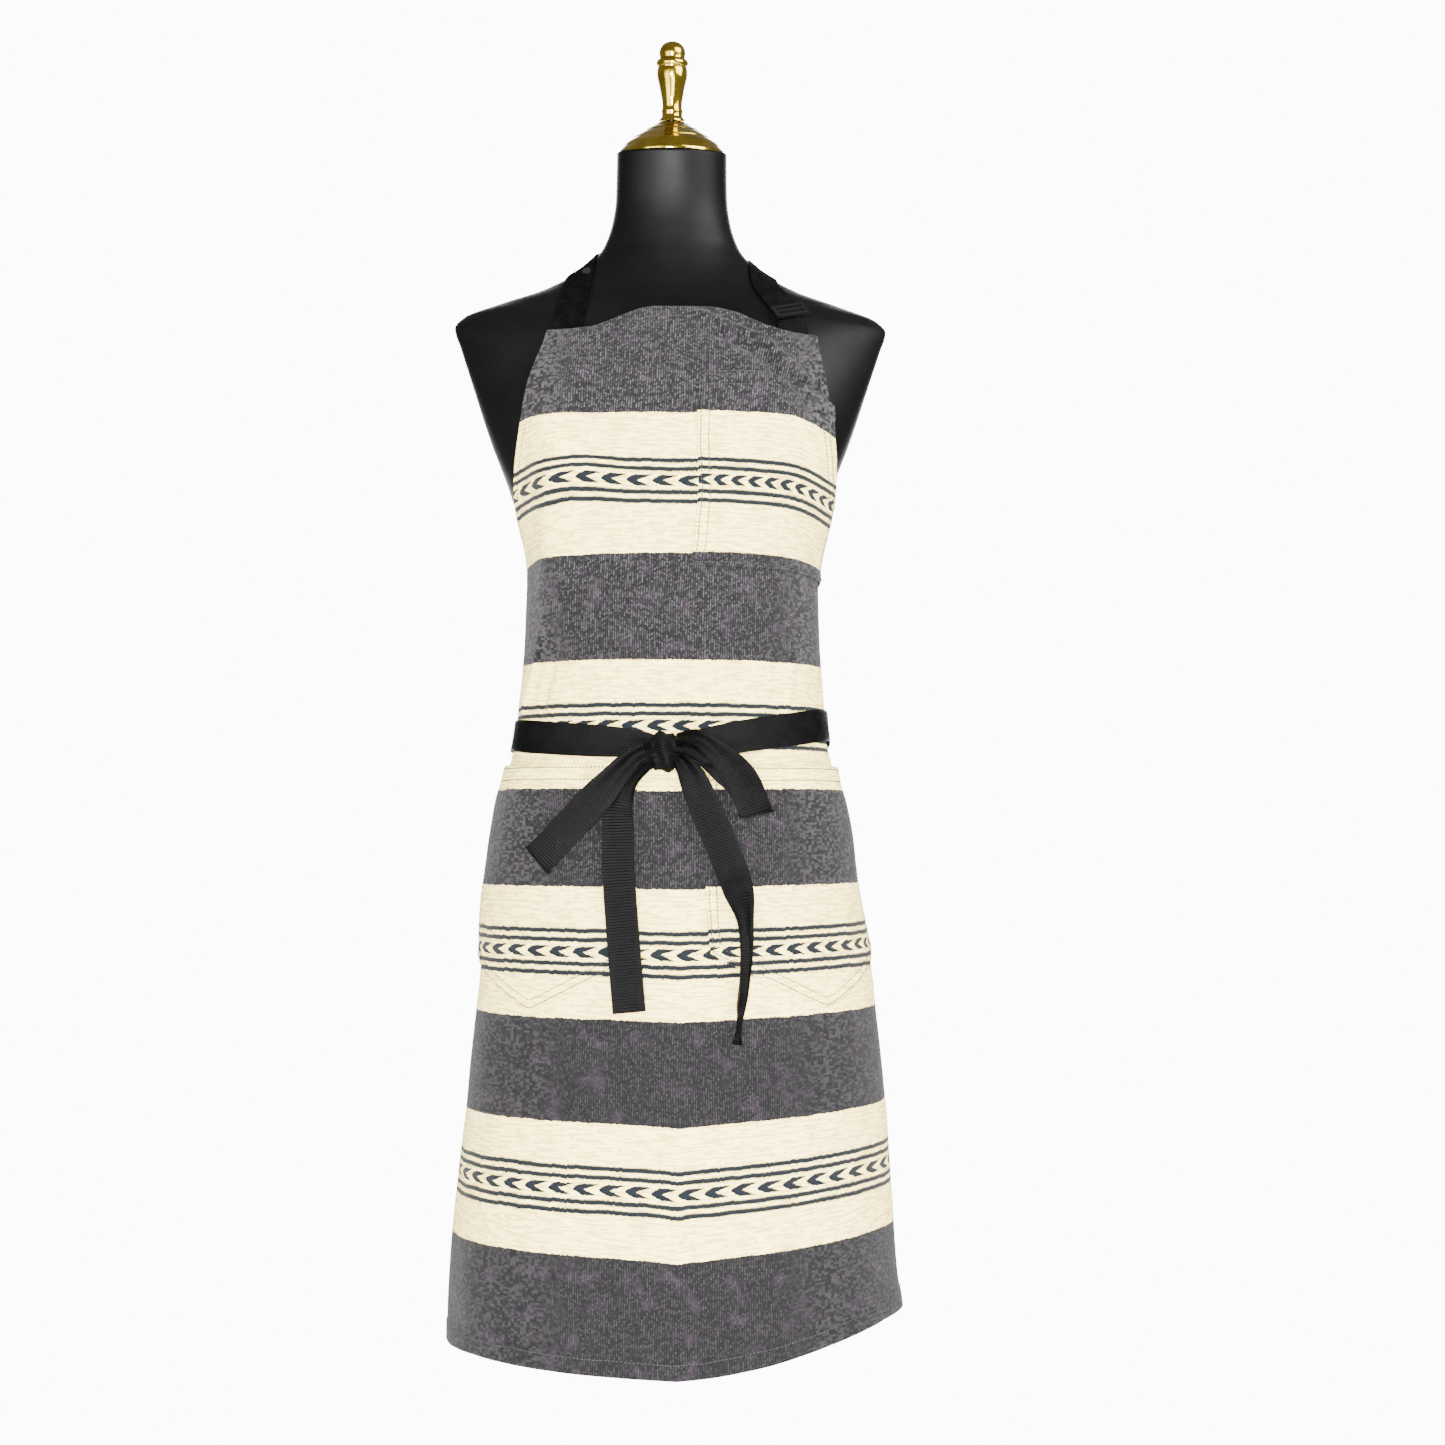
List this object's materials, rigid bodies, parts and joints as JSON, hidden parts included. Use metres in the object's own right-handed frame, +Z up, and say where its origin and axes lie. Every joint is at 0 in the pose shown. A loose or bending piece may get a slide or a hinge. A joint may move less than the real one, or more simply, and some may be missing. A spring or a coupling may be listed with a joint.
{
  "type": "apron on dress form",
  "caption": "Striped woven bib apron with pockets, neck strap and tied waist bow, worn on an armless black dress form with a turned metal neck cap.",
  "frame": {"origin": "on the pole's axis, in the plane of the base board's underside", "axes": "+Z up along the pole and the neck, -Y the way the form faces, +X to the right as it is seen from the front"},
  "size_m": [0.377, 0.2534, 1.0882],
  "materials": {
    "form_cover": "matte black stretch cover over a hard shell",
    "board": "raw plywood",
    "gold_metal": "polished gold plate",
    "steel": "zinc plated",
    "striped_cloth": "handwoven cotton, slate and cream stripes with small arrow rows",
    "black_webbing": "black grosgrain",
    "slider_plastic": "moulded black",
    "stud_metal": "nickel"
  },
  "bodies": {
    "form_and_apron": {"torso_shell": "form_cover", "neck_board": "board", "base_board": "board", "neck_cap": "gold_metal", "finial_stud": "steel", "stud_nut": "steel", "stand_socket": "steel", "socket_screw_1": "steel", "socket_screw_2": "steel", "socket_screw_3": "steel", "socket_screw_4": "steel", "apron_panel": "striped_cloth", "chest_pocket": "striped_cloth", "hip_pocket_left": "striped_cloth", "hip_pocket_right": "striped_cloth", "neck_strap": "black_webbing", "neck_strap_tab": "black_webbing", "strap_stud": "stud_metal", "waist_tie_left": "black_webbing", "waist_tie_right": "black_webbing", "bow_knot": "black_webbing"},
    "finial_body": {"finial": "gold_metal"},
    "clamp_screw_body": {"pole_clamp_screw": "steel"},
    "slider_body": {"strap_slider": "slider_plastic"},
    "bow_left": {"bow_loop_left": "black_webbing", "bow_tail_left": "black_webbing"},
    "bow_right": {"bow_loop_right": "black_webbing", "bow_tail_right": "black_webbing"}
  },
  "joints": [
    {"name": "finial_turn", "type": "hinge", "parent": "form_and_apron", "child": "finial_body", "pos_m": [0, -0.01577, 0.8539], "axis": [0, -0.1908, 0.9816], "continuous": true},
    {"name": "clamp_screw_turn", "type": "hinge", "parent": "form_and_apron", "child": "clamp_screw_body", "pos_m": [0, 0.026, -0.024], "axis": [0, 1, 0], "continuous": true},
    {"name": "strap_slider_slide", "type": "slide", "parent": "form_and_apron", "child": "slider_body", "axis": [-0.426, 0.4933, 0.7584], "range_m": [-0.004, 0.022]},
    {"name": "bow_left_lift", "type": "hinge", "parent": "form_and_apron", "child": "bow_left", "pos_m": [-0.02, -0.1101, 0.3], "axis": [-1, 0, 0], "range_deg": [0, 40]},
    {"name": "bow_right_lift", "type": "hinge", "parent": "form_and_apron", "child": "bow_right", "pos_m": [0.02, -0.1101, 0.3], "axis": [-1, 0, 0], "range_deg": [0, 40]}
  ]
}
